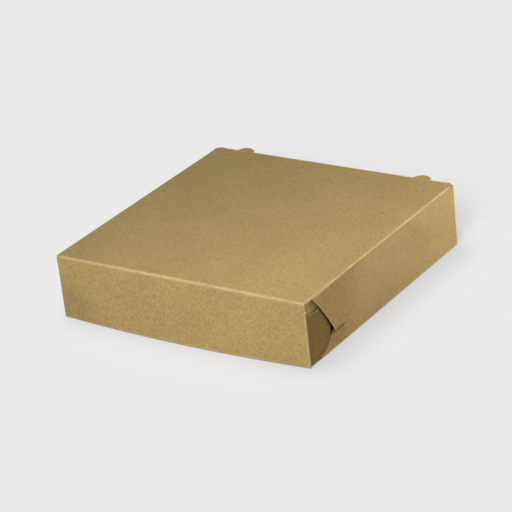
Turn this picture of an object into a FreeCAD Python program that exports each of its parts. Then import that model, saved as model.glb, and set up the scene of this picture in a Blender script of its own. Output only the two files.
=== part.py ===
import FreeCAD, Part
import math
import os
import Sketcher

# A folded paperboard pizza box: a tray with hooked back corners and a lid hinged along the back wall.
# Millimetres. Z is up, the origin is the middle of the base, the hinge runs along X at the back (-Y).
# Hook, ear, strip and slit positions are distances along the side wall from its back corner.

SIZES = {
    "box_width": 203.2,
    "box_depth": 203.2,
    "box_height": 47.6,
    "board": 0.6,
    "crease_radius": 0.5,
    "back_bulge": 4.8,
    "slit_height": 12.4,
    "slit_gap": 0.4,
    "slit_end": 50.0,
    "hook_top": 9.6,
    "hook_tip": 33.2,
    "hook_curve": 230.0,
    "hook_angle": 1.2,
    "hook_drop": 0.8,
    "hook_overlap": 0.5,
    "strip_lean": 4.2,
    "strip_full": 28.0,
    "strip_stop": 12.0,
    "ear_foot": 1.2,
    "ear_toe": 12.5,
    "ear_reach": 32.6,
    "ear_belly": 19.0,
    "ear_under": 23.6,
    "ear_over": 13.0,
    "ear_shoulder": 35.2,
    "ear_inner": 13.5,
    "ear_outer": 21.0,
    "ear_dip": 17.0,
    "ear_top": 41.6,
    "ear_tilt": 2.8,
    "ear_pivot": 7.0,
    "glue_flap_length": 30.0,
    "glue_flap_height": 40.0,
    "glue_flap_taper": 4.0,
    "lid_setback": 0.1,
    "flap_inset": 2.8,
    "flap_depth": 30.0,
    "flap_square": 12.0,
    "flap_back": 1.0,
    "flap_front": 2.8,
    "flap_taper": 9.0,
    "tuck_gap": 0.4,
    "tuck_depth": 28.0,
    "tuck_angle": 5.1,
    "tuck_side": 7.0,
    "tuck_round": 12.0,
    "tab_width": 14.0,
    "tab_reach": 5.0,
    "tab_inset": 25.6,
    "lid_corner": 5.0,
}
TOLERANCE = 0.01


class Size:
    """A number that keeps the sheet expression it comes from."""

    def __init__(self, value, text):
        self.value = value
        self.text = text

    def __add__(self, other):
        other = size(other)
        return Size(self.value + other.value, f"({self.text} + {other.text})")

    def __sub__(self, other):
        other = size(other)
        return Size(self.value - other.value, f"({self.text} - {other.text})")

    def __mul__(self, other):
        other = size(other)
        return Size(self.value * other.value, f"({self.text} * {other.text})")

    def __truediv__(self, other):
        other = size(other)
        return Size(self.value / other.value, f"({self.text} / {other.text})")

    def __neg__(self):
        return Size(-self.value, f"(0 - {self.text})")


def size(value):
    return value if isinstance(value, Size) else Size(float(value), str(float(value)))


doc = FreeCAD.newDocument("pizza_box")
sheet = doc.addObject("Spreadsheet::Sheet", "sizes")
for row, (alias, number) in enumerate(SIZES.items(), 1):
    sheet.set(f"A{row}", alias)
    sheet.set(f"B{row}", str(number))
    sheet.setAlias(f"B{row}", alias)
doc.recompute()
dim = {alias: Size(number, f"sizes.{alias}") for alias, number in SIZES.items()}

half_width = dim["box_width"] / 2
half_depth = dim["box_depth"] / 2
board = dim["board"]
wall_top = dim["box_height"] - board
zero = size(0)


def plane(body, role):
    return next(item for item in body.Origin.OriginFeatures if item.Role == role)


def new_sketch(body, name, role, shift=(zero, zero, zero), axis=None, angle=None):
    sketch = body.newObject("Sketcher::SketchObject", name)
    sketch.AttachmentSupport = [(plane(body, role), "")]
    sketch.MapMode = "FlatFace"
    turn = FreeCAD.Rotation(FreeCAD.Vector(*axis), angle.value) if axis else FreeCAD.Rotation()
    sketch.AttachmentOffset = FreeCAD.Placement(FreeCAD.Vector(*[part.value for part in shift]), turn)
    for letter, part in zip("xyz", shift):
        sketch.setExpression(f"AttachmentOffset.Base.{letter}", part.text)
    if axis:
        sketch.setExpression("AttachmentOffset.Rotation.Angle", angle.text)
    return sketch


def draw(sketch, path):
    """Close an outline. A vertex is (x, y), or (x, y, radius, side) where an arc leaves it."""
    points = [FreeCAD.Vector(size(v[0]).value, size(v[1]).value, 0) for v in path]
    starts, ends = [], []
    for index, vertex in enumerate(path):
        here, there = points[index], points[(index + 1) % len(path)]
        if len(vertex) == 2:
            edge = sketch.addGeometry(Part.LineSegment(here, there), False)
            forward = True
        else:
            radius, side = size(vertex[2]), vertex[3]
            along = there - here
            rise = radius.value - math.sqrt(radius.value**2 - along.Length**2 / 4)
            across = FreeCAD.Vector(along.y, -along.x, 0).normalize() * (rise * side)
            edge = sketch.addGeometry(Part.Arc(here, (here + there) * 0.5 + across, there), False)
            first, last = sketch.getPoint(edge, 1), sketch.getPoint(edge, 2)
            forward = first.distanceToPoint(here) < last.distanceToPoint(here)
        starts.append((edge, 1 if forward else 2))
        ends.append((edge, 2 if forward else 1))
    for index, vertex in enumerate(path):
        sketch.addConstraint(Sketcher.Constraint("Coincident", *ends[index - 1], *starts[index]))
        for kind, part in (("DistanceX", size(vertex[0])), ("DistanceY", size(vertex[1]))):
            number = sketch.addConstraint(Sketcher.Constraint(kind, -1, 1, *starts[index], part.value))
            sketch.setExpression(f"Constraints[{number}]", part.text)
    for index, vertex in enumerate(path):
        if len(vertex) == 4:
            radius = size(vertex[2])
            number = sketch.addConstraint(Sketcher.Constraint("Radius", starts[index][0], radius.value))
            sketch.setExpression(f"Constraints[{number}]", radius.text)
    doc.recompute()
    return sketch


def box_path(x0, x1, y0, y1):
    return [(x0, y0), (x1, y0), (x1, y1), (x0, y1)]


def pad(body, name, sketch, length, backward=False):
    feature = body.newObject("PartDesign::Pad", name)
    feature.Profile = sketch
    feature.Length = size(length).value
    feature.setExpression("Length", size(length).text)
    feature.Reversed = backward
    sketch.Visibility = False
    doc.recompute()
    return feature


def loft(body, name, sketches):
    feature = body.newObject("PartDesign::AdditiveLoft", name)
    feature.Profile = sketches[0]
    feature.Sections = [(item, [""]) for item in sketches[1:]]
    feature.Ruled = True
    doc.recompute()
    return feature


def mirrored(body, name, features):
    """Repeat features on the other side of the box."""
    feature = body.newObject("PartDesign::Mirrored", name)
    feature.Originals = features
    feature.MirrorPlane = (plane(body, "YZ_Plane"), [""])
    body.Tip = feature
    doc.recompute()
    return feature


def rounded(body, name, wanted, radius):
    """Round the edges that the wanted test picks."""
    base_feature = body.Tip
    shape = base_feature.Shape
    names = [f"Edge{n}" for n, edge in enumerate(shape.Edges, 1) if wanted(edge)]
    feature = body.newObject("PartDesign::Fillet", name)
    feature.Base = (base_feature, names)
    feature.Radius = radius.value
    feature.setExpression("Radius", radius.text)
    body.Tip = feature
    doc.recompute()
    return feature


def at_level(edge, level):
    box = edge.BoundBox
    return max(abs(box.ZMin - level.value), abs(box.ZMax - level.value)) < TOLERANCE


def lid_crease(edge):
    box = edge.BoundBox
    return at_level(edge, dim["box_height"]) and min(box.XLength, box.YLength) < TOLERANCE


def base_crease(edge):
    box = edge.BoundBox
    return at_level(edge, zero) and max(box.XLength, box.YLength) > dim["slit_end"].value


# The tray
tray = doc.addObject("PartDesign::Body", "tray")
tray.Label = "tray"
chord_radius = (half_width * half_width + dim["back_bulge"] * dim["back_bulge"]) / (dim["back_bulge"] * 2)

# Base, its back edge pushed out in an arc
base = draw(
    new_sketch(tray, "base_outline", "XY_Plane"),
    [
        (-half_width, -half_depth, chord_radius, 1),
        (half_width, -half_depth),
        (half_width, half_depth),
        (-half_width, half_depth),
    ],
)
pad(tray, "base", base, board)

# Back wall: straight at the hinge and bulged at the foot
inner_back = -half_depth + board
foot = draw(
    new_sketch(tray, "back_foot", "XY_Plane"),
    [
        (-half_width, -half_depth, chord_radius, 1),
        (half_width, -half_depth),
        (half_width, inner_back, chord_radius, -1),
        (-half_width, inner_back),
    ],
)
head = draw(
    new_sketch(tray, "back_head", "XY_Plane", (zero, zero, wall_top)),
    box_path(-half_width, half_width, -half_depth, inner_back),
)
loft(tray, "back_wall", [foot, head])

# Front wall, which stops short of the rounded corner creases
front_end = half_width - dim["crease_radius"]
front = draw(
    new_sketch(tray, "front_outline", "XZ_Plane", (zero, zero, -half_depth)),
    box_path(-front_end, front_end, zero, wall_top),
)
pad(tray, "front_wall", front, board)

# Side wall, from the slit to the front corner
slit_y = -half_depth + dim["slit_end"]
side_front = half_depth - board
side = draw(
    new_sketch(tray, "side_outline", "YZ_Plane", (zero, zero, half_width)),
    box_path(slit_y, side_front, zero, wall_top),
)
side_wall = pad(tray, "side_wall", side, board, True)

# Glue flap: the end of the side wall, folded in behind the front wall
glue_end = half_width - dim["glue_flap_length"]
glue_high = board + dim["glue_flap_height"]
glue = draw(
    new_sketch(tray, "glue_flap_outline", "XZ_Plane", (zero, zero, -side_front)),
    [
        (glue_end, board + dim["glue_flap_taper"]),
        (half_width - board / 2, board),
        (half_width - board / 2, glue_high),
        (glue_end, glue_high - dim["glue_flap_taper"]),
    ],
)
glue_flap = pad(tray, "glue_flap", glue, board)


# Strip under the slit: it turns inwards, so that the ear can pass outside it
def strip_section(name, u, lean):
    sketch = new_sketch(tray, name, "XZ_Plane", (zero, zero, half_depth - u))
    edge = half_width - lean
    return draw(
        sketch,
        [
            (half_width - board, zero),
            (half_width, zero),
            (edge, dim["slit_height"]),
            (edge - board, dim["slit_height"]),
        ],
    )


strip = loft(
    tray,
    "strip",
    [
        strip_section("strip_root", dim["slit_end"], zero),
        strip_section("strip_bend", dim["strip_full"], dim["strip_lean"]),
        strip_section("strip_tail", dim["strip_stop"], dim["strip_lean"]),
    ],
)

# Hook over the slit: it springs outwards and hides the ear's outer end
hook_low = dim["slit_height"] + dim["slit_gap"]
hook_path = [
    (dim["hook_tip"] - dim["slit_end"], hook_low),
    (dim["hook_overlap"], hook_low),
    (dim["hook_overlap"], wall_top),
    (dim["hook_top"] - dim["slit_end"], wall_top - dim["hook_drop"], dim["hook_curve"], -1),
]
hook_sketch = new_sketch(
    tray, "hook_outline", "YZ_Plane", (slit_y, zero, half_width), (0, 1, 0), dim["hook_angle"]
)
hook = pad(tray, "hook", draw(hook_sketch, hook_path), board, True)

# Ear: the rounded corner flap on the end of the back wall, leaning in towards its top
ear_low = dim["ear_foot"] - dim["ear_pivot"]
ear_mid = dim["ear_belly"] - dim["ear_pivot"]
ear_high = dim["ear_shoulder"] - dim["ear_pivot"]
ear_peak = dim["ear_top"] - dim["ear_pivot"]
ear_path = [
    (zero, ear_low),
    (dim["ear_toe"], ear_low, dim["ear_under"], 1),
    (dim["ear_reach"], ear_mid, dim["ear_over"], 1),
    (dim["ear_outer"], ear_high),
    (dim["ear_inner"], ear_high, dim["ear_dip"], -1),
    (board, ear_peak),
    (zero, ear_peak),
]
ear_sketch = new_sketch(
    tray, "ear_outline", "YZ_Plane", (-half_depth, dim["ear_pivot"], half_width), (-1, 1, 0), dim["ear_tilt"]
)
ear = pad(tray, "ear", draw(ear_sketch, ear_path), board, True)

mirrored(tray, "other_side", [side_wall, glue_flap, strip, hook, ear])

# The lid
lid = doc.addObject("PartDesign::Body", "lid")
lid.Label = "lid"
lid_back = -half_depth + dim["lid_setback"]
corner = dim["lid_corner"]
tab_half = dim["tab_width"] / 2
tab_radius = (tab_half * tab_half + dim["tab_reach"] * dim["tab_reach"]) / (dim["tab_reach"] * 2)
tab_middle = half_width - dim["tab_inset"]
panel = draw(
    new_sketch(lid, "panel_outline", "XY_Plane", (zero, zero, wall_top)),
    [
        (-half_width, lid_back),
        (half_width, lid_back),
        (half_width, half_depth - corner, corner, 1),
        (half_width - corner, half_depth),
        (tab_middle + tab_half, half_depth, tab_radius, 1),
        (tab_middle - tab_half, half_depth),
        (-tab_middle + tab_half, half_depth, tab_radius, 1),
        (-tab_middle - tab_half, half_depth),
        (corner - half_width, half_depth, corner, 1),
        (-half_width, half_depth - corner),
    ],
)
pad(lid, "panel", panel, board)

# Side flap, tucked inside the side wall and the ears
root = wall_top + board / 2
flap_low = wall_top - dim["flap_depth"]
flap_near = -half_depth + dim["flap_back"]
flap_far = half_depth - dim["flap_front"]
flap_turn = wall_top - dim["flap_square"]
flap_sketch = draw(
    new_sketch(lid, "flap_outline", "YZ_Plane", (zero, zero, half_width - dim["flap_inset"])),
    [
        (flap_near + dim["flap_taper"], flap_low),
        (flap_far - dim["flap_taper"], flap_low),
        (flap_far, flap_turn),
        (flap_far, root),
        (flap_near, root),
        (flap_near, flap_turn),
    ],
)
side_flap = pad(lid, "side_flap", flap_sketch, board, True)
mirrored(lid, "other_side_flap", [side_flap])

# Front tuck flap, leaning in so that it swings clear of the front wall.
# The two tabs are cut out of it, which leaves a rounded gap under each of them.
tuck_face = half_depth - board * 2 - dim["tuck_gap"]
tuck_half = half_width - dim["tuck_side"]
tuck_low = -dim["tuck_depth"]
tuck_round = dim["tuck_round"]
tuck_path = [
    (tuck_round - tuck_half, tuck_low),
    (tuck_half - tuck_round, tuck_low, tuck_round, 1),
    (tuck_half, tuck_low + tuck_round),
    (tuck_half, board / 2),
    (tab_middle + tab_half, board / 2),
    (tab_middle + tab_half, zero, tab_radius, -1),
    (tab_middle - tab_half, zero),
    (tab_middle - tab_half, board / 2),
    (-tab_middle + tab_half, board / 2),
    (-tab_middle + tab_half, zero, tab_radius, -1),
    (-tab_middle - tab_half, zero),
    (-tab_middle - tab_half, board / 2),
    (-tuck_half, board / 2),
    (-tuck_half, tuck_low + tuck_round, tuck_round, 1),
]
tuck_sketch = new_sketch(
    lid, "tuck_outline", "XZ_Plane", (zero, wall_top, -tuck_face), (-1, 0, 0), dim["tuck_angle"]
)
pad(lid, "tuck_flap", draw(tuck_sketch, tuck_path), board)

# Rounded creases
rounded(lid, "lid_creases", lid_crease, dim["crease_radius"])
rounded(tray, "base_creases", base_crease, dim["crease_radius"])

os.makedirs("parts", exist_ok=True)
doc.recompute()
for item in doc.Objects:
    if "Invalid" in item.State or "Error" in item.State:
        raise RuntimeError(f"{item.Name} did not build: {item.State}")
for node in (tray, lid):
    if node.Shape.isNull() or not node.Shape.isValid() or len(node.Shape.Solids) != 1:
        raise RuntimeError(f"{node.Label} is not one valid solid")
    node.Shape.exportStep(f"parts/{node.Label}.step")
    print(node.Label, round(node.Shape.Volume, 1), node.Shape.BoundBox)
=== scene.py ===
import bpy
import math
import numpy as np
from mathutils import Matrix, Vector


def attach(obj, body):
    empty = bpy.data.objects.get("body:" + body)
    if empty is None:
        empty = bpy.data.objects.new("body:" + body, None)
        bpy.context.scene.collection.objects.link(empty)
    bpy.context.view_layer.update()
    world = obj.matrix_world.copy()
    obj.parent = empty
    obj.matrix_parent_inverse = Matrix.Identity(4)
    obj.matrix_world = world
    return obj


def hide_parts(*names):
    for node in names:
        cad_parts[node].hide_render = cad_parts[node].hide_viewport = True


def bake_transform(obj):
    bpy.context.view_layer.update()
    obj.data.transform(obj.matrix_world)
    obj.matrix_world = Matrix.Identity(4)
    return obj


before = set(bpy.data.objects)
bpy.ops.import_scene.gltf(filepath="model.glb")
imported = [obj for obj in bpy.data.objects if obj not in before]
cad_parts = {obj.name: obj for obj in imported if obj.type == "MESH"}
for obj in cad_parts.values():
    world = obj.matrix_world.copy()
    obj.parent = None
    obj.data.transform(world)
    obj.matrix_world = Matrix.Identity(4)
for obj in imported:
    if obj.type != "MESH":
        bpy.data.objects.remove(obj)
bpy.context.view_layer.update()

# Sizes in millimetres, as in the CAD model. The origin is the middle of the base, the hinge is at -Y.
MM = 0.001
HALF = 101.6                            # half the box's width and depth
HIGH = 47.6
BOARD = 0.6                             # thickness
WALL_TOP = 46.45                        # of the side and front walls
HINGE_LOW = 45.0                        # where the back wall ends and the hinge crease starts
BULGE, BULGE_TOP = 4.8, 47.0            # how far the foot of the back wall bows out, and where that ends
FOLD = 0.55                             # middle radius of the tray's creases
TURN = math.pi / 2 * FOLD               # length of sheet in one of them
SINK = BOARD / 2 + FOLD                 # from a panel's plane to where its crease ends
EDGE = HALF - SINK                      # where the base's creases start
SHEET_TOP = TURN + WALL_TOP - SINK      # length of sheet from there to a wall's top
STEPPED = 0.35                          # how far the ends of a wall stand back from its corners
FLAT_END = HALF - STEPPED

# The lock at each back corner, along the side wall from the corner and up from the base
SLIT, SLIT_GAP, SLIT_END = 12.4, 0.4, 50.0              # height, width and length of the slit
STRIP_START = 12.0                                      # where the strip below it starts
HOOK_TIP, HOOK_TOP, HOOK_CURVE = 33.2, 9.6, 230.0       # the hook's edge at the slit, at the top, its radius
EAR_FOOT, EAR_TOE, EAR_UNDER = 1.2, 12.5, 23.6          # the ear's foot, its reach there, radius from there
EAR_BELLY, EAR_REACH, EAR_OVER = 19.0, 32.6, 13.0       # its widest height, its reach there, radius above
EAR_SHOULDER, EAR_INNER, EAR_OUTER = 35.2, 13.5, 21.0   # its level top, from here to there
EAR_TOP, EAR_DIP = 41.6, 17.0                           # where it meets the corner, radius of the dip
EAR_IN, EAR_LEAN = 1.0, 0.035           # how far it sits in past its crease, and its slope from there
HOOK_OUT, HOOK_ROOT = 1.5, 60.0         # how far the hook springs out, and where that starts
STRIP_IN = 3.1                          # how far the strip is pushed in at the slit

# The glue flaps: how long, where their lower and upper edges start, and how much each edge closes in
GLUE_DEEP, GLUE_LOW, GLUE_HIGH, GLUE_TAPER = 30.0, 1.2, 40.2, 4.0

# The lid
LID_FOLD = 0.4                          # middle radius of its side and front creases
LID_TURN = LID_FOLD * math.radians(140)
LID_EDGE = HALF - BOARD / 2 - LID_FOLD  # where they start
LID_MID = HIGH - BOARD / 2
LID_BACK = 2.0 - HALF                   # where the hinge crease ends and the top panel starts
CORNER = 5.0                            # radius of its front corners
CORNER_Y = HALF - CORNER
FLAP_DEEP, FLAP_IN = 31.0, 3.1          # the side flaps, and how far in from the box's face they hang
FLAP_STRAIGHT, FLAP_CUT = 12.0, 9.0     # the straight part of their ends, and how much the rest closes in
TUCK_DEEP, TUCK_IN, TUCK_LEAN = 29.0, 2.2, 0.089        # the front flap, how far in, and its slope
TUCK_HALF, TUCK_ROUND = 94.6, 12.0      # half its width, and the radius of its corners
TAB_LOW, TAB_HIGH = 69.0, 83.0          # where each tab lies along the front edge
TAB_ROUND, TAB_SINK, TAB_LIFT = 7.4, 2.4, 0.35          # radius, its centre behind the edge, and lift

# Low unevenness of the board
SIDE_WAVE, BACK_WAVE, LID_WAVE = 0.10, 0.12, 0.14
SWELL = 0.45                            # how far the side walls stand out past the lock

STEP = 0.01                             # for slopes
FAR = 99.0                              # distance to a crease where there is none near


def ramp(x, low, high):
    """From 0 at low to 1 at high, level at both ends."""
    t = np.clip((x - low) / (high - low), 0, 1)
    return t * t * (3 - 2 * t)


def waves(a, b, seed, size):
    """Slow, low waves over a panel, in -1 to 1."""
    rng = np.random.default_rng(seed)
    total = np.zeros_like(a + b)
    for _ in range(5):
        turn, phase = rng.uniform(0, 2 * math.pi, 2)
        length = size * rng.uniform(0.7, 2.2)
        total = total + np.sin((a * math.cos(turn) + b * math.sin(turn)) * 2 * math.pi / length + phase)
    return total / 5


def spaced(low, high, gap):
    """Places from low to high, about the gap apart."""
    return np.linspace(low, high, max(2, int(round(abs(high - low) / gap)) + 1))


def across(low, high, share):
    """A grid with one row for each pair of low and high, and its places by share between the two."""
    return low[:, None] + (high - low)[:, None] * share[None, :]


def stacked(function, u, v):
    """The function's values at u and v as an array of points."""
    return np.stack(np.broadcast_arrays(*function(u, v)), -1)


def arc_u(z, one, two, radius, side):
    """Where the arc between two (u, z) points is at height z. side is 1 where it bows to larger u."""
    (u1, z1), (u2, z2) = one, two
    chord = math.hypot(u2 - u1, z2 - z1)
    away = np.array([z2 - z1, u1 - u2]) / chord * side * math.copysign(1, z2 - z1)
    centre = np.array([u1 + u2, z1 + z2]) / 2 - away * math.sqrt(radius**2 - chord**2 / 4)
    return centre[0] + side * np.sqrt(np.clip(radius**2 - (z - centre[1]) ** 2, 0, None))


def circle_in(x, radius):
    """How far a rounded corner has come in, x past the start of its arc."""
    return radius - np.sqrt(np.clip(radius**2 - np.clip(x, 0, None) ** 2, 0, None))


# The sheet. Its inner face and the left side take their grain from elsewhere in the noise.
INNER_GRAIN = np.array([0.0, 0.0, 40.0])
LEFT_GRAIN = np.array([0.0, 37.0, 0.0])


class Sheet:
    """Patches of one folded sheet, gathered into one mesh with two faces and cut edges."""

    def __init__(self):
        self.count = 0
        self.places, self.normals, self.faces, self.slots = [], [], [], []
        self.marks = {"blank": [], "fold": [], "rub_and_highlight": [], "shade": [], "specks": []}

    def add(self, place, u, v, blank, fold=None, rub_and_highlight=0.0, shade=None, specks=0.8, flip=False, rims="lrbt",
            both=False):
        """Adds the patch over the grids u and v of sheet coordinates.

        place gives the middle of the board in space and blank the same spot on the flat sheet. fold is the
        distance to the nearest crease or edge with the pale band, and shade is painted light and shade: the
        share of light that gets into a gap from outside, painted into the colour of the outer face. worn says
        how strong the pale crease band is, partly rubbing and partly a painted highlight, and specks how
        flecked the patch is. flip is for grids whose normal points to the inside of the box. rims names the
        sides that are cut edges: left, right, bottom and top of the grids. both adds the patch on the left
        side of the box too.
        """
        u, v = np.broadcast_arrays(np.asarray(u, float), np.asarray(v, float))
        middle = stacked(place, u, v)
        along_u = stacked(place, u + STEP, v) - stacked(place, u - STEP, v)
        along_v = stacked(place, u, v + STEP) - stacked(place, u, v - STEP)
        normal = np.cross(along_u, along_v) * (-1 if flip else 1)
        normal /= np.linalg.norm(normal, axis=-1, keepdims=True)
        flat = np.concatenate([stacked(blank, u, v), np.zeros(u.shape + (1,))], -1)
        near = np.full(u.shape, FAR) if fold is None else np.broadcast_to(fold(u, v), u.shape)
        light = np.ones(u.shape) if shade is None else np.broadcast_to(shade(u, v), u.shape)
        self.shell(middle, normal, flat, near, light, rub_and_highlight, specks, rims)
        if both:
            mirror = np.array([-1.0, 1.0, 1.0])
            grids = (middle * mirror, normal * mirror, flat * mirror + LEFT_GRAIN, near, light)
            turned = [grid[:, ::-1] for grid in grids]
            self.shell(*turned, rub_and_highlight, specks, rims.translate(str.maketrans("lr", "rl")))

    def shell(self, middle, normal, flat, near, light, rub_and_highlight, specks, rims):
        """Both faces of the board and its cut edges."""
        rows, columns = middle.shape[:2]
        size = rows * columns
        top, under = self.count, self.count + size
        for sign, grain in ((1, 0 * INNER_GRAIN), (-1, INNER_GRAIN)):
            self.places.append((middle + normal * sign * BOARD / 2).reshape(-1, 3))
            self.normals.append((normal * sign).reshape(-1, 3))
            self.marks["blank"].append((flat + grain).reshape(-1, 3))
            self.marks["fold"].append(near.reshape(-1))
            # Painted light and shade go on the outer face only.
            self.marks["shade"].append(light.reshape(-1) if sign > 0 else np.ones(size))
            self.marks["rub_and_highlight"].append(np.full(size, rub_and_highlight))
            self.marks["specks"].append(np.full(size, specks))
        self.count += 2 * size
        index = np.arange(size).reshape(rows, columns)
        quads = np.stack([index[:-1, :-1], index[:-1, 1:], index[1:, 1:], index[1:, :-1]], -1).reshape(-1, 4)
        a, b, c = middle.reshape(-1, 3)[quads[len(quads) // 2][:3]]
        outward = np.dot(np.cross(b - a, c - b), normal.reshape(-1, 3)[quads[len(quads) // 2][1]]) > 0
        turned = quads if outward else quads[:, ::-1]
        self.faces += (turned + top).tolist() + (turned[:, ::-1] + under).tolist()
        self.slots += [0] * (2 * len(turned))
        sides = {"b": index[0], "t": index[-1][::-1], "l": index[:, 0][::-1], "r": index[:, -1]}
        for side in rims:
            line = sides[side] if outward else sides[side][::-1]
            one, two = line[:-1], line[1:]
            self.faces += np.stack([one + under, two + under, two + top, one + top], -1).tolist()
            self.slots += [1] * len(one)

    def build(self, name, materials):
        mesh = bpy.data.meshes.new(name)
        mesh.from_pydata((np.concatenate(self.places) * MM).tolist(), [], self.faces)
        for material in materials:
            mesh.materials.append(material)
        mesh.polygons.foreach_set("material_index", self.slots)
        mesh.polygons.foreach_set("use_smooth", [True] * len(self.faces))
        for label, parts in self.marks.items():
            kind, key = ("FLOAT_VECTOR", "vector") if label == "blank" else ("FLOAT", "value")
            layer = mesh.attributes.new(label, kind, "POINT")
            layer.data.foreach_set(key, np.concatenate(parts).astype(np.float32).ravel())
        mesh.update()
        given = np.concatenate(self.normals)
        split = []
        for polygon, cut in zip(mesh.polygons, self.slots):
            split += [tuple(polygon.normal)] * 4 if cut else given[list(polygon.vertices)].tolist()
        mesh.normals_split_custom_set(split)
        thing = bpy.data.objects.new(name, mesh)
        bpy.context.collection.objects.link(thing)
        return thing


# The form of the tray's panels
def bend(s):
    """Out and up of a sheet that turns a quarter turn from flat, s from the turn's start."""
    angle = np.clip(s, 0, TURN) / FOLD
    out = np.where(s < 0, s, FOLD * np.sin(angle))
    up = np.where(s > TURN, FOLD + s - TURN, FOLD * (1 - np.cos(angle)))
    return out, up


def sheet_at(z):
    """Length of sheet from the start of a base crease to height z on a wall."""
    return z - SINK + TURN


def height(s):
    """Height of the middle of the board, s along a wall's sheet."""
    return BOARD / 2 + bend(s)[1]


def bulge(x, z):
    """How far the back wall bows out at x and height z."""
    return BULGE * (1 - (x / HALF) ** 2) * (1 - z / BULGE_TOP)


def hook_edge(z):
    """How far the hook's edge is from the back corner at height z."""
    return arc_u(z, (HOOK_TIP, SLIT + SLIT_GAP), (HOOK_TOP, WALL_TOP), HOOK_CURVE, 1)


def ear_edge(z):
    """How far an ear reaches along the side wall at height z."""
    under = arc_u(z, (EAR_TOE, EAR_FOOT), (EAR_REACH, EAR_BELLY), EAR_UNDER, 1)
    over = arc_u(z, (EAR_REACH, EAR_BELLY), (EAR_OUTER, EAR_SHOULDER), EAR_OVER, 1)
    dip = arc_u(z, (EAR_INNER, EAR_SHOULDER), (BOARD, EAR_TOP), EAR_DIP, -1)
    return np.select([z <= EAR_BELLY, z <= EAR_SHOULDER], [under, over], dip.clip(0.75))


def side_out(u, z):
    """How far the side wall stands out from its plane, u from the back corner."""
    spring = np.clip((HOOK_ROOT - u) / SLIT_END, 0, None) ** 1.35
    lift = HOOK_OUT * spring * (1 - 0.5 * ramp(z, 16, 47)) * ramp(z, 4, SLIT)
    pushed_in = -STRIP_IN * np.clip(z / SLIT, 0, 1) * (1 - ramp(u, 26, 46))
    strip = pushed_in + lift * ramp(u, 38, SLIT_END)
    belly = ramp(z, 0, 14) * (1 - ramp(z, 38, 47))
    swell = SWELL * (1 - ramp(u, 148, 184)) * ramp(u, SLIT_END, 120) * belly
    ripple = SIDE_WAVE * waves(u, z, 5, 50) * belly * ramp(u, SLIT_END, 62)
    return np.where((u < SLIT_END) & (z < SLIT + 0.1), strip, lift) + swell + ripple


def side_place(y, s):
    out, up = bend(s)
    return EDGE + out + side_out(y + HALF, BOARD / 2 + up), y, BOARD / 2 + up


def base_place(x, share):
    low = -EDGE - bulge(x, BOARD / 2)
    return x, low + (EDGE - low) * share, BOARD / 2 + 0 * x


def back_place(x, s):
    out, up = bend(s)
    z = BOARD / 2 + up
    calm = ramp(z, 0, 12) * (1 - ramp(z, 36, 47)) * (1 - ramp(abs(x), 80, 98))
    return x, -(EDGE + out) - bulge(x, z) - BACK_WAVE * waves(x, z, 9, 70) * calm, z


def front_place(x, s):
    out, up = bend(s)
    return x, EDGE + out, BOARD / 2 + up


def ear_place(q, z):
    out, up = bend(q)
    inward = (EAR_IN * ramp(q, 0.5, 9) + EAR_LEAN * q) * (0.35 + 0.65 * ramp(z, 2, 14))
    rest = bulge(EDGE, z) * (1 - np.clip(q / TURN, 0, 1))
    return EDGE + out - inward, -EDGE - FOLD + up - rest, z


def glue_place(q, z):
    out, up = bend(q)
    return EDGE + FOLD - up, HALF - BOARD - SINK + out, z


# Where creases go pale, from rubbing and a painted highlight, and where painted light and shade go into gaps
def foot_fold(u, s):
    return abs(s - TURN / 2)


def back_fold(x, s):
    """The crease at the foot of the back wall or the one at its top."""
    return np.minimum(foot_fold(x, s), HIGH - height(s))


def corner_fold(q, z):
    return abs(q - TURN / 2)


def line_near(u, z, edge, heights):
    """Distance to an edge given as a function of the height."""
    return np.hypot(u[..., None] - edge(heights), z[..., None] - heights).min(-1)


def ear_shade(q, z):
    """Painted shade over the ear, darkest behind the hook, and a painted highlight along the cut edge at the
    top.
    """
    u = q - TURN + SINK
    behind = ramp(u - hook_edge(z.clip(SLIT, WALL_TOP)), -0.6, 0.9) * ramp(z, SLIT - 3, SLIT + 1)
    brow = line_near(u, z, ear_edge, spaced(EAR_SHOULDER + 0.1, EAR_TOP, 0.3))
    shoulder = np.where(u > EAR_INNER, abs(EAR_SHOULDER - z), FAR)
    # A painted highlight along the ear's top cut edge and its shoulder.
    cut_edge = 1 - ramp(np.minimum(brow, shoulder), 0.1, 0.8)
    return (1 - 0.1 * ramp(q, 0.5, 2.5) + 1.4 * cut_edge) * (1 - 0.85 * behind)


def wall_shade(y, s):
    """Painted shade: the wall is a little darker and redder towards its lock."""
    return 0.94 + 0.06 * ramp(y + HALF, 25, 95)


def hook_fold(y, s):
    """The hook's edge takes the pale crease band: rubbing and a painted highlight."""
    return np.clip(y + HALF - hook_edge(height(s)), 0, None) + 0.5


def strip_shade(y, s):
    """Painted shade under the hook and along the ear's edge, on top of the wall's painted shade."""
    u, z = y + HALF, height(s)
    hidden = 0.2 + 1.5 * (1 - ramp(u, 28, SLIT_END))
    under_hook = (1 - ramp(SLIT - z, hidden, hidden + 1.3)) * (1 - ramp(u, 43, 49))
    past_ear = u - ear_edge(z) - 0.16 * z
    by_ear = 0.05 * (1 - ramp(past_ear, 2, 9)) + 0.60 * (1 - ramp(past_ear, 0.6, 1.4))
    return wall_shade(y, s) * (1 - 0.65 * under_hook) * (1 - by_ear)


# The tray's pieces
tray = Sheet()
ears = Sheet()
WIDE = spaced(-EDGE, EDGE, 3.0)[None, :]
CREASE_ROWS = np.concatenate([[-0.8], np.linspace(0, TURN, 6)])
WALL_ROWS = np.concatenate([CREASE_ROWS, spaced(TURN + 0.8, SHEET_TOP, 2.2)])[:, None]


def side_blank(y, s):
    return HALF + s, y


def back_blank(x, s):
    return x, -HALF - s


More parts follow.
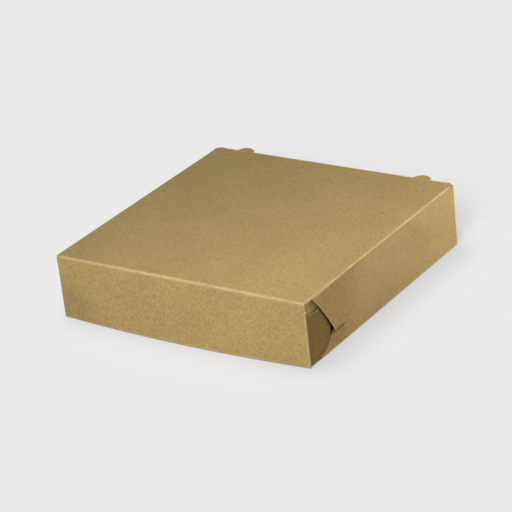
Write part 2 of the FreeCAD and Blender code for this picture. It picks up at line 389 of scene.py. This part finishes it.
def base():
    tray.add(base_place, WIDE, np.linspace(0, 1, 60)[:, None], lambda x, share: (x, HALF * (2 * share - 1)),
             lambda x, share: EDGE * 2 * np.minimum(share, 1 - share) + 0.4, flip=True, rims="lr")


def back_wall():
    """The wall, and the rounded ends that run on to the corner above and below each ear."""
    rows = np.concatenate([CREASE_ROWS, spaced(TURN + 0.8, sheet_at(HINGE_LOW), 2.2)])[:, None]
    tray.add(back_place, WIDE, rows, back_blank, back_fold, 0.5, specks=1.0, rims="lrt")
    ends = np.linspace(EDGE, FLAT_END, 3)[None, :]
    above = sheet_at(spaced(EAR_TOP, HINGE_LOW, 1.0))[:, None]
    below = np.linspace(0, TURN + 0.1, 6)[:, None]
    tray.add(back_place, ends, above, back_blank, lambda x, s: HALF - x, 0.8, both=True)
    tray.add(back_place, ends, below, back_blank, foot_fold, 0.6, both=True)


def side_walls():
    """The wall, and before it the strip below the slit and the hook above it."""
    end_y = HALF - BOARD - SINK
    u = np.concatenate([spaced(SLIT_END, SLIT_END + 6, 1.0), spaced(SLIT_END + 8, end_y + HALF, 2.4)])
    tray.add(side_place, u - HALF, WALL_ROWS, side_blank, foot_fold, 0.3, wall_shade, both=True, rims="rbt")
    strip_rows = np.concatenate([CREASE_ROWS, spaced(TURN + 0.6, sheet_at(SLIT), 0.55)])[:, None]
    tray.add(side_place, spaced(STRIP_START, SLIT_END, 0.8)[None, :] - HALF, strip_rows,
             side_blank, foot_fold, 0.3, strip_shade, specks=1.0, both=True, rims="lt")
    z = spaced(SLIT + SLIT_GAP, WALL_TOP, 1.2)
    share = np.concatenate([[0, 0.01, 0.02, 0.04, 0.06], np.linspace(0.09, 1, 20)])
    edge = hook_edge(z)
    tray.add(side_place, across(edge, 0 * edge + SLIT_END, share) - HALF, sheet_at(z)[:, None],
             side_blank, hook_fold, 0.75, wall_shade, specks=1.0, both=True, rims="lbt")


def back_ears():
    """The rows lie closer at the dip, and the columns at the crease."""
    z = np.concatenate([[EAR_FOOT, 1.4], spaced(1.8, 18.5, 0.9), spaced(19.2, EAR_SHOULDER, 0.8),
                        [EAR_SHOULDER + 0.04], spaced(EAR_SHOULDER + 0.4, EAR_TOP, 0.4)])
    share = np.concatenate([[0, 0.008, 0.016, 0.024, 0.034], np.linspace(0.07, 1, 30)])
    length = ear_edge(z) - SINK + TURN
    ears.add(ear_place, across(0 * z, length, share), z[:, None], lambda q, z: (HALF + q, -HALF - z),
             corner_fold, 1.0, ear_shade, specks=1.2, both=True, rims="rbt")


def glue_flaps():
    """The side walls turn in behind the front wall."""
    def blank(q, z):
        return HALF + z, HALF + q
    z = spaced(1.0, WALL_TOP, 2.2)[:, None]
    crease_end = TURN + 0.8
    tray.add(glue_place, np.linspace(0, crease_end, 8)[None, :], z, blank, corner_fold, 0.7,
             both=True, rims="rbt")
    q = spaced(crease_end, GLUE_DEEP, 2.0)[None, :]
    taper = q * GLUE_TAPER / GLUE_DEEP
    low, high = GLUE_LOW + taper, GLUE_HIGH - taper
    tray.add(glue_place, q, low + (high - low) * np.linspace(0, 1, 16)[:, None], blank,
             both=True, rims="rbt")


def front_wall():
    tray.add(front_place, spaced(-FLAT_END, FLAT_END, 3.0)[None, :], WALL_ROWS,
             lambda x, s: (x, HALF + s), foot_fold, 0.3, flip=True, rims="lrt")


# The form of the lid's panels
def fold_in(w, inner):
    """Over the lid's edge, in under it, then down. Returns out from LID_EDGE and z, w from the edge."""
    angle = np.clip(w, 0, LID_TURN) / LID_FOLD
    out, drop = LID_FOLD * np.sin(angle), LID_FOLD * (1 - np.cos(angle))
    past = np.clip(w - LID_TURN, 0, None)
    target = inner - LID_EDGE
    settled = target + (out - target) / (1 + past / 1.1)
    return settled, LID_MID - drop - past * (0.82 + 0.18 * ramp(past, 0, 4))


def lid_place(x, y):
    calm = (1 - ramp(abs(x), 88, 100)) * (1 - ramp(abs(y), 88, 100))
    return x, y, LID_MID + LID_WAVE * waves(x, y, 21, 80) * calm


def lid_side(y, w):
    out, z = fold_in(w, HALF - FLAP_IN)
    return LID_EDGE + out, y, z


def lid_front(x, w):
    out, z = fold_in(w, HALF - TUCK_IN)
    return x, LID_EDGE + out - (LID_MID - z) * TUCK_LEAN * ramp(w, 1, 3), z


def tab_place(x, y):
    return x, y, LID_MID + TAB_LIFT * ramp(y, HALF, HALF + 6)


def tab_tip(x):
    """How far a tab stands out past the lid's front edge."""
    middle = (TAB_LOW + TAB_HIGH) / 2
    return np.sqrt(np.clip(TAB_ROUND**2 - (abs(x) - middle) ** 2, 0, None)) - TAB_SINK


def lid_crease(x, y):
    """The nearest of the creases round the top panel."""
    side = np.where(y < CORNER_Y, LID_EDGE + 0.7 - abs(x), FAR)
    front = np.where(abs(x) < TUCK_HALF, LID_EDGE + 0.3 - y, FAR)
    return np.clip(np.minimum(np.minimum(side, front), y + HALF), 0, None)


def flap_crease(u, w):
    return abs(w - LID_TURN / 3)


def flap_shade(y, w):
    """Painted light where a little gets in over the ear's dip, and painted shade in the corner behind it."""
    u = y + HALF
    by_dip = (1 - ramp(u, 14, 30)) * (1 - ramp(w, 6, 20))
    return 1 + ramp(w, 0.8, 2.5) * (0.16 * by_dip - 0.45 * (1 - ramp(u, 1.5, 4)))


# The lid's pieces
lid = Sheet()
LID_SPECKS = 0.92
FOLD_ROWS = np.concatenate([np.linspace(0, LID_TURN, 8), [1.2, 1.5, 1.9, 2.4, 3.0, 3.8, 5.0]])


def lid_blank(x, y):
    return x, 2 * HALF + y


def lid_line(y):
    """Half the lid's width at y, where its front corners are round."""
    return HALF - circle_in(y - CORNER_Y, CORNER)


def top_panel():
    def close_in(low, high):
        ends = np.array([0, 0.6, 1.3, 2.2])
        return np.concatenate([low + ends, spaced(low + 3.5, high - 3.5, 2.6), (high - ends)[::-1]])
    lid.add(lid_place, close_in(-LID_EDGE, LID_EDGE)[None, :], close_in(LID_BACK, CORNER_Y)[:, None],
            lid_blank, lid_crease, 0.9, specks=LID_SPECKS, rims="b")
    y = spaced(CORNER_Y, LID_EDGE, 0.55)
    lid.add(lid_place, across(-lid_line(y), lid_line(y), np.linspace(0, 1, 90)), y[:, None],
            lid_blank, lid_crease, 0.9, specks=LID_SPECKS, rims="lr")
    y = spaced(LID_EDGE, HALF, 0.2)
    lid.add(lid_place, across(0 * y + TUCK_HALF, lid_line(y), np.linspace(0, 1, 8)), y[:, None],
            lid_blank, rub_and_highlight=0.9, specks=LID_SPECKS, both=True, rims="rt")


def side_flaps():
    w = np.concatenate([FOLD_ROWS, spaced(6.5, FLAP_DEEP, 2.4)])
    back_cut = 1.0 - HALF + FLAP_CUT * ramp(w, FLAP_STRAIGHT, FLAP_DEEP)
    front_cut = CORNER_Y - 0.1 - FLAP_CUT * np.clip((w - FLAP_STRAIGHT) / (FLAP_DEEP - FLAP_STRAIGHT), 0, 1)
    lid.add(lid_side, across(back_cut, front_cut, np.linspace(0, 1, 90)), w[:, None],
            lambda y, w: (HALF + w, 2 * HALF + y), flap_crease, 0.9, flap_shade, flip=True, both=True,
            rims="lrt")


def front_blank(x, w):
    return x, 3 * HALF + w


def tuck_flap():
    """Three parts that fold along the lid's front edge, and two that start round the tabs."""
    w = np.concatenate([FOLD_ROWS, spaced(6.5, TUCK_DEEP, 1.5)])
    lid.add(lid_front, spaced(-TAB_LOW, TAB_LOW, 2.0)[None, :], w[:, None], front_blank, flap_crease, 0.6,
            rims="tlr")
    end = TUCK_HALF - circle_in(w - (TUCK_DEEP - TUCK_ROUND), TUCK_ROUND)
    lid.add(lid_front, across(0 * w + TAB_HIGH, end, np.linspace(0, 1, 8)), w[:, None], front_blank,
            flap_crease, 0.6, both=True, rims="tlr")
    x = spaced(TAB_LOW, TAB_HIGH, 0.7)[None, :]
    rows = tab_tip(x) + (TUCK_DEEP - tab_tip(x)) * np.linspace(0, 1, 18)[:, None]
    lid.add(lid_front, x, rows, front_blank, both=True, rims="tb")


def tabs():
    x = spaced(TAB_LOW, TAB_HIGH, 0.7)[None, :]
    y = LID_EDGE + (HALF + tab_tip(x) - LID_EDGE) * np.linspace(0, 1, 8)[:, None]
    lid.add(tab_place, x, y, lid_blank, both=True, rims="lrt")


# The hinge crease, from the top of the back wall to the back of the lid
hinge = Sheet()
RISE = LID_MID - FOLD - HINGE_LOW


def hinge_place(x, s):
    angle = np.clip(s - RISE, 0, TURN) / FOLD
    z = HINGE_LOW + np.clip(s, None, RISE) + FOLD * np.sin(angle)
    inward = FOLD * (1 - np.cos(angle)) + np.clip(s - RISE - TURN, 0, None)
    return x, -EDGE - FOLD - bulge(x, z.clip(None, BULGE_TOP)) + inward, z


def hinge_strip():
    flat_part = LID_BACK + EDGE
    s = np.concatenate([np.linspace(0, RISE, 4), RISE + np.linspace(0, TURN, 9)[1:],
                        RISE + TURN + np.linspace(0, flat_part, 3)[1:]])
    hinge.add(hinge_place, spaced(-FLAT_END, FLAT_END, 3.0)[None, :], s[:, None],
              lambda x, s: (x, -HALF - HINGE_LOW - s), lambda x, s: abs(s - RISE - TURN / 2), 0.9, specks=0.9)


# Marks and painted shade on the outside of the sheet: centre and half sizes on the flat sheet, turn, and how
# bright they are.
# Each is even up to the core, and fades out to the rim, in half sizes.
CORE, RIM = 0.45, 1.25
MARKS_AND_SHADE = (
    ((HALF + 34, 140 - HALF), (12, 24), 0.55, 0.90),                # painted shade, a soft dark patch on the right wall
    ((HALF + 30, 34 - HALF), (30, 34), 0.0, 0.91),                  # painted shade on the hook and the wall by it
    ((HALF + 6, 32 - HALF), (9, 16), 0.0, 0.88),                    # painted shade on the strip
    ((-98, -HALF - 9), (26, 19), 0.0, 0.87),                        # painted shade at the lower left corner of the back wall
    ((HALF + 13.2, SLIT_END + 3.2 - HALF), (1.3, 2.4), 0.3, 1.15),  # board pulled pale past the slit
    ((HALF + 38.5, 24 - HALF), (2.6, 0.55), 0.5, 0.72),             # two scratches on the hook
    ((HALF + 36.0, 27 - HALF), (1.8, 0.50), 0.8, 0.78),
)


# Materials
WHITE = (1, 1, 1, 1)
DULL_KRAFT, BRIGHT_KRAFT = (0.388, 0.262, 0.099, 1), (0.416, 0.281, 0.107, 1)
DARK_FLECK, PALE_FLECK = (0.15, 0.092, 0.036, 1), (0.62, 0.46, 0.235, 1)
CUT_KRAFT, RUBBED_HIGHLIT_KRAFT = (0.66, 0.50, 0.27, 1), (0.66, 0.49, 0.25, 1)
# The warm tint of painted shade
WARM_SHADE = (1.10, 0.97, 0.74, 1)


class Graph:
    """Short calls to add nodes to a material."""

    def __init__(self, name):
        self.material = bpy.data.materials.new(name)
        self.material.use_nodes = True
        self.tree = self.material.node_tree
        self.tree.nodes.clear()

    def put(self, socket, value):
        if isinstance(value, bpy.types.NodeSocket):
            self.tree.links.new(value, socket)
        else:
            socket.default_value = value

    def node(self, kind, settings=None, **inputs):
        node = self.tree.nodes.new(kind)
        for key, value in (settings or {}).items():
            setattr(node, key, value)
        for key, value in inputs.items():
            place = int(key[1:]) if key[1:].isdigit() else key.replace("_", " ")
            self.put(node.inputs[place], value)
        return node

    def attribute(self, name, kind="Fac"):
        return self.node("ShaderNodeAttribute", {"attribute_name": name}).outputs[kind]

    def maths(self, operation, a, b, c=0.0):
        return self.node("ShaderNodeMath", {"operation": operation}, i0=a, i1=b, i2=c).outputs[0]

    def stretched(self, vector, scale, turn=0.0):
        return self.node("ShaderNodeMapping", Vector=vector, Scale=scale, Rotation=(0, 0, turn)).outputs[0]

    def noise(self, vector, scale, detail, rough):
        return self.node("ShaderNodeTexNoise", Vector=vector, Scale=scale, Detail=detail,
                         Roughness=rough).outputs[0]

    def span(self, value, low, high, to_low=0.0, to_high=1.0):
        return self.node("ShaderNodeMapRange", {"interpolation_type": "SMOOTHSTEP"}, Value=value,
                         From_Min=low, From_Max=high, To_Min=to_low, To_Max=to_high).outputs[0]

    def mixed(self, factor, one, two, blend="MIX"):
        return self.node("ShaderNodeMix", {"data_type": "RGBA", "blend_type": blend},
                         i0=factor, i6=one, i7=two).outputs[2]

    def times(self, tone, share):
        return self.mixed(1.0, tone, share, "MULTIPLY")

    def around(self, noise, gain, share):
        """1 on average, with the noise's swing times the gain."""
        swing = self.maths("MULTIPLY", self.maths("SUBTRACT", noise, 0.5), gain)
        return self.maths("MULTIPLY_ADD", swing, share, 1.0)

    def within(self, vector, centre, size, turn):
        """Distance from a centre, 1 at the rim of an ellipse."""
        spot = self.node("ShaderNodeMapping", {"vector_type": "TEXTURE"}, Vector=vector,
                         Location=(*centre, 0), Rotation=(0, 0, turn), Scale=(*size, 1)).outputs[0]
        return self.node("ShaderNodeVectorMath", {"operation": "LENGTH"}, i0=spot).outputs["Value"]

    def finish(self, shader):
        self.node("ShaderNodeOutputMaterial", Surface=shader.outputs[0])
        return self.material


def kraft(name, cut=False):
    """Brown kraft board: clouds, mottling down to the fibres, flecks, pale creases from rubbing and a painted
    highlight, paler cut edges, marks and painted shade.
    """
    g = Graph(name)
    blank = g.attribute("blank", "Vector")
    clouds = g.noise(blank, 0.022, 3.0, 0.5)
    mottle = g.noise(blank, 0.20, 5.0, 0.85)
    fibres = g.noise(g.stretched(blank, (1.0, 0.35, 1.0), 0.3), 0.9, 4.0, 0.6)
    tone = g.mixed(g.span(clouds, 0.35, 0.65), DULL_KRAFT, BRIGHT_KRAFT)
    specks = g.attribute("specks")
    tone = g.times(tone, g.around(mottle, 0.68, specks))
    tone = g.times(tone, g.around(fibres, 0.55, specks))
    tone = flecked(g, blank, specks, tone)
    if cut:
        layers = g.noise(g.stretched(blank, (0.6, 0.6, 4.0)), 1.4, 3.0, 0.6)
        tone = g.mixed(g.span(layers, 0.3, 0.7, 0.45, 0.75), tone, CUT_KRAFT)
    else:
        tone = rubbed_and_highlit(g, blank, mottle, tone)
        # Real marks on the board, and painted shade on the hook, the strip and two patches of wall
        for centre, size, turn, bright in MARKS_AND_SHADE:
            tone = g.times(tone, g.span(g.within(blank, centre, size, turn), CORE, RIM, bright, 1.0))
    tone = shaded(g, tone)
    height = g.maths("ADD", g.maths("MULTIPLY", mottle, 1.2), fibres)
    bump = g.node("ShaderNodeBump", Strength=0.35, Distance=0.00012, Height=height).outputs[0]
    dull = g.span(mottle, 0.3, 0.7, 0.72, 0.86)
    return g.finish(g.node("ShaderNodeBsdfPrincipled", Base_Color=tone, Roughness=dull, Normal=bump, IOR=1.45,
                           Specular_IOR_Level=0.28))


def flecked(g, blank, specks, tone):
    """Dark and pale specks, and short curled fibres of both kinds."""
    dark_speck = g.noise(g.stretched(blank, (1.0, 0.45, 1.0), 0.25), 0.80, 2.0, 0.45)
    pale_speck = g.noise(g.stretched(blank, (0.45, 1.0, 1.0), 0.35), 0.90, 2.0, 0.45)
    lines = g.noise(blank, 0.40, 2.0, 0.5)
    where = g.noise(blank, 0.55, 2.0, 0.5)
    curl = g.span(g.maths("ABSOLUTE", g.maths("SUBTRACT", lines, 0.5), 0.0), 0.030, 0.008)
    dark = g.maths("MAXIMUM", g.span(dark_speck, 0.62, 0.70, 0.0, 0.55),
                   g.maths("MULTIPLY", curl, g.span(where, 0.54, 0.64, 0.0, 0.70)))
    pale = g.maths("MAXIMUM", g.span(pale_speck, 0.62, 0.70, 0.0, 0.36),
                   g.maths("MULTIPLY", curl, g.span(where, 0.46, 0.36, 0.0, 0.50)))
    tone = g.mixed(g.maths("MULTIPLY", dark, specks), tone, DARK_FLECK)
    return g.mixed(g.maths("MULTIPLY", pale, specks), tone, PALE_FLECK)


def shaded(g, tone):
    """Painted shade: darker and redder where the light has to come off the board itself."""
    shade = g.attribute("shade")
    tint = g.mixed(g.span(shade, 0.88, 1.0), WARM_SHADE, WHITE)
    return g.times(g.times(tone, shade), tint)


def rubbed_and_highlit(g, blank, mottle, tone):
    """A soft, uneven pale band along each crease: partly rubbing, partly a painted highlight."""
    ragged = g.maths("ADD", g.attribute("fold"), g.maths("MULTIPLY", g.maths("SUBTRACT", mottle, 0.5), 5.0))
    patchy = g.span(g.noise(blank, 0.07, 3.0, 0.6), 0.35, 0.65, 0.5, 1.0)
    amount = g.maths("MULTIPLY", g.span(ragged, 2.1, 0.0), g.maths("MULTIPLY", patchy, g.attribute("rub_and_highlight")))
    # The pale band is partly rubbing and partly a painted highlight on the creases.
    return g.mixed(g.maths("MULTIPLY", amount, 0.68), tone, RUBBED_HIGHLIT_KRAFT)


for piece in (base, back_wall, side_walls, back_ears, glue_flaps, front_wall,
              top_panel, side_flaps, tuck_flap, tabs, hinge_strip):
    piece()
boards = [kraft("kraft_face"), kraft("kraft_cut_edge", True)]
tray_board = tray.build("tray_board", boards)
ear_boards = ears.build("ear_boards", boards)
lid_board = lid.build("lid_board", boards)
hinge_crease = hinge.build("hinge_crease", boards)
for board, body in ((tray_board, "tray"), (ear_boards, "tray"), (lid_board, "lid")):
    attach(board, body)
    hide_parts(body)
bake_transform(hinge_crease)

# A pale floor. The camera sees an even part and a part that takes the box's shadow.
EVEN, SHADED = 0.378, 0.26
FLOOR_SIZE, FLOOR_DROP = 40, 0.0002     # in metres
bpy.ops.mesh.primitive_plane_add(size=FLOOR_SIZE, location=(0, 0, -FLOOR_DROP))
floor = bpy.context.object
floor.name = "floor"
g = Graph("floor_paper")
even = g.node("ShaderNodeEmission", Color=WHITE, Strength=EVEN)
pale = g.node("ShaderNodeBsdfDiffuse", Color=(0.8, 0.8, 0.8, 1))
bounce = g.node("ShaderNodeBsdfDiffuse", Color=(0.25, 0.25, 0.25, 1))
seen = g.node("ShaderNodeMixShader", i0=SHADED, i1=even.outputs[0], i2=pale.outputs[0])
camera_ray = g.node("ShaderNodeLightPath").outputs["Is Camera Ray"]
either = g.node("ShaderNodeMixShader", i0=camera_ray, i1=bounce.outputs[0], i2=seen.outputs[0])
floor.data.materials.append(g.finish(either))

world = bpy.data.worlds.new("soft_sky")
bpy.context.scene.world = world
world.use_nodes = True
sky = world.node_tree.nodes["Background"]
sky.inputs["Color"].default_value = WHITE
sky.inputs["Strength"].default_value = 0.05


# Studio light. The lamps round the box light only the box, and the two on the right leave its ears in shade.
def receivers(name, *pieces):
    """A group of pieces for a lamp to light."""
    group = bpy.data.collections.new(name)
    for piece in pieces:
        group.objects.link(piece)
    return group


def aim(turn, rise):
    """A direction from the box, turned from the hinge wall towards the right side wall, in degrees."""
    turn, rise = math.radians(turn), math.radians(rise)
    return Vector((math.sin(turn) * math.cos(rise), -math.cos(turn) * math.cos(rise), math.sin(rise)))


def lamp(name, kind, turn, rise, energy, spread, away, lights_up, colour=(1, 1, 1)):
    """spread is the lamp's size in metres, or a sun's angle in degrees, and away its distance in metres."""
    light = bpy.data.lights.new(name, kind)
    light.energy, light.color = energy, colour
    if kind == "AREA":
        light.shape, light.size = "DISK", spread
    else:
        light.angle = math.radians(spread)
    holder = bpy.data.objects.new(name, light)
    bpy.context.collection.objects.link(holder)
    holder.location = aim(turn, rise) * away
    holder.rotation_euler = aim(turn, rise).to_track_quat("Z", "Y").to_euler()
    holder.visible_camera = False
    holder.light_linking.receiver_collection = lights_up


whole_box = receivers("whole_box", tray_board, ear_boards, lid_board, hinge_crease)
all_but_ears = receivers("all_but_ears", tray_board, lid_board, hinge_crease)
floor_alone = receivers("floor_alone", floor)
cool, warm = (0.985, 1.0, 0.99), (1.02, 1.0, 0.97)
lamp("key", "AREA", 25, 60, 0.91, 0.25, 0.40, whole_box, cool)
lamp("front", "SUN", 6, 25, 1.84, 20, 1.0, whole_box, cool)
lamp("right", "AREA", 110, 25, 0.345, 0.20, 0.35, all_but_ears, warm)
lamp("rear", "AREA", 146, 11, 0.70, 0.20, 0.45, all_but_ears, warm)
lamp("left", "SUN", -140, 6, 0.55, 30, 1.0, whole_box)
lamp("floor_top", "SUN", -90, 80, 4.48, 60, 1.0, floor_alone)
lamp("floor_low", "SUN", 20, 32, 6.95, 35, 1.0, floor_alone)

# Camera, fitted to the photo's outline
AZIMUTH, ELEVATION, ROLL = (math.radians(angle) for angle in (35.63, 25.08, -6.37))
DISTANCE, SLIDE_X, SLIDE_Y = 7.708, -0.017, -0.023      # in box widths
FOCAL, PICTURE = 2213.7, 512                            # in pixels
back = aim(math.degrees(AZIMUTH), math.degrees(ELEVATION))
right = Matrix.Rotation(ROLL, 3, back) @ Vector((math.cos(AZIMUTH), math.sin(AZIMUTH), 0))
up = back.cross(right)
eye = Vector((0, 0, HIGH * MM / 2)) + (back * DISTANCE + right * SLIDE_X + up * SLIDE_Y) * 2 * HALF * MM
camera = bpy.data.objects.new("camera", bpy.data.cameras.new("camera"))
bpy.context.collection.objects.link(camera)
camera.matrix_world = Matrix.Translation(eye) @ Matrix((right, up, back)).transposed().to_4x4()
camera.data.lens = FOCAL / PICTURE * camera.data.sensor_width
camera.data.clip_end = 100
bpy.context.scene.camera = camera
bpy.context.scene.view_settings.view_transform = "Standard"
